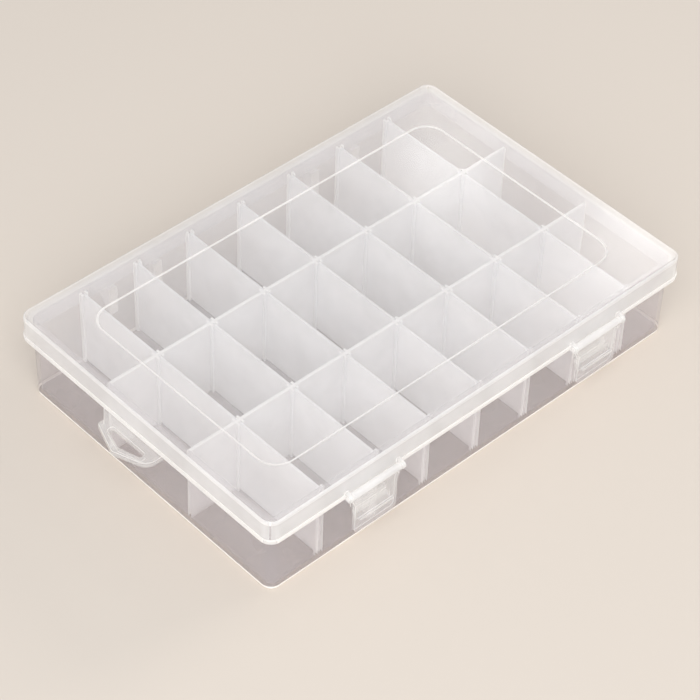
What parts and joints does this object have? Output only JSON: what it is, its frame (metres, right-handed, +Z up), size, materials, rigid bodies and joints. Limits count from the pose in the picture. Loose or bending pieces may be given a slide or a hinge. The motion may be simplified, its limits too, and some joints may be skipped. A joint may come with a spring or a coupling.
{
  "type": "compartment box",
  "caption": "Clear flat compartment box for embroidery thread: hinged lid with a hanging skirt, two front latches, lift-out frosted dividers and a hang tab on one end.",
  "frame": {"origin": "centre of the tray's flat underside, on the surface that it stands on", "axes": "+Z up, +X along the front, -Y the latch side, +Y the hinge side; the hang tab is on the -X end"},
  "size_m": [0.2058, 0.1392, 0.036],
  "materials": {
    "clear_tray": "clear moulded polypropylene, slightly milky",
    "clear_lid": "clear moulded polypropylene, slightly milky",
    "clear_latch": "milky moulded polypropylene",
    "frosted_divider": "frosted moulded polypropylene"
  },
  "bodies": {
    "tray": {"tray": "clear_tray", "divider_front_1": "frosted_divider", "divider_front_2": "frosted_divider", "divider_front_3": "frosted_divider", "divider_front_4": "frosted_divider", "divider_front_5": "frosted_divider", "divider_front_6": "frosted_divider", "divider_front_7": "frosted_divider", "divider_middle_1": "frosted_divider", "divider_middle_2": "frosted_divider", "divider_middle_3": "frosted_divider", "divider_middle_4": "frosted_divider", "divider_middle_5": "frosted_divider", "divider_middle_6": "frosted_divider", "divider_middle_7": "frosted_divider", "divider_back_1": "frosted_divider", "divider_back_2": "frosted_divider", "divider_back_3": "frosted_divider", "divider_back_4": "frosted_divider", "divider_back_5": "frosted_divider", "divider_back_6": "frosted_divider", "divider_back_7": "frosted_divider"},
    "lid": {"lid": "clear_lid"},
    "latch_left": {"latch_left": "clear_latch"},
    "latch_right": {"latch_right": "clear_latch"}
  },
  "joints": [
    {"name": "lid_hinge", "type": "hinge", "parent": "tray", "child": "lid", "pos_m": [0, 0.0685, 0.0244], "axis": [-1, 0, 0], "range_deg": [0, 180]},
    {"name": "latch_left_hinge", "type": "hinge", "parent": "lid", "child": "latch_left", "pos_m": [-0.0528, -0.0667, 0.027], "axis": [-1, 0, 0], "range_deg": [0, 110]},
    {"name": "latch_right_hinge", "type": "hinge", "parent": "lid", "child": "latch_right", "pos_m": [0.0528, -0.0667, 0.027], "axis": [-1, 0, 0], "range_deg": [0, 110]}
  ]
}
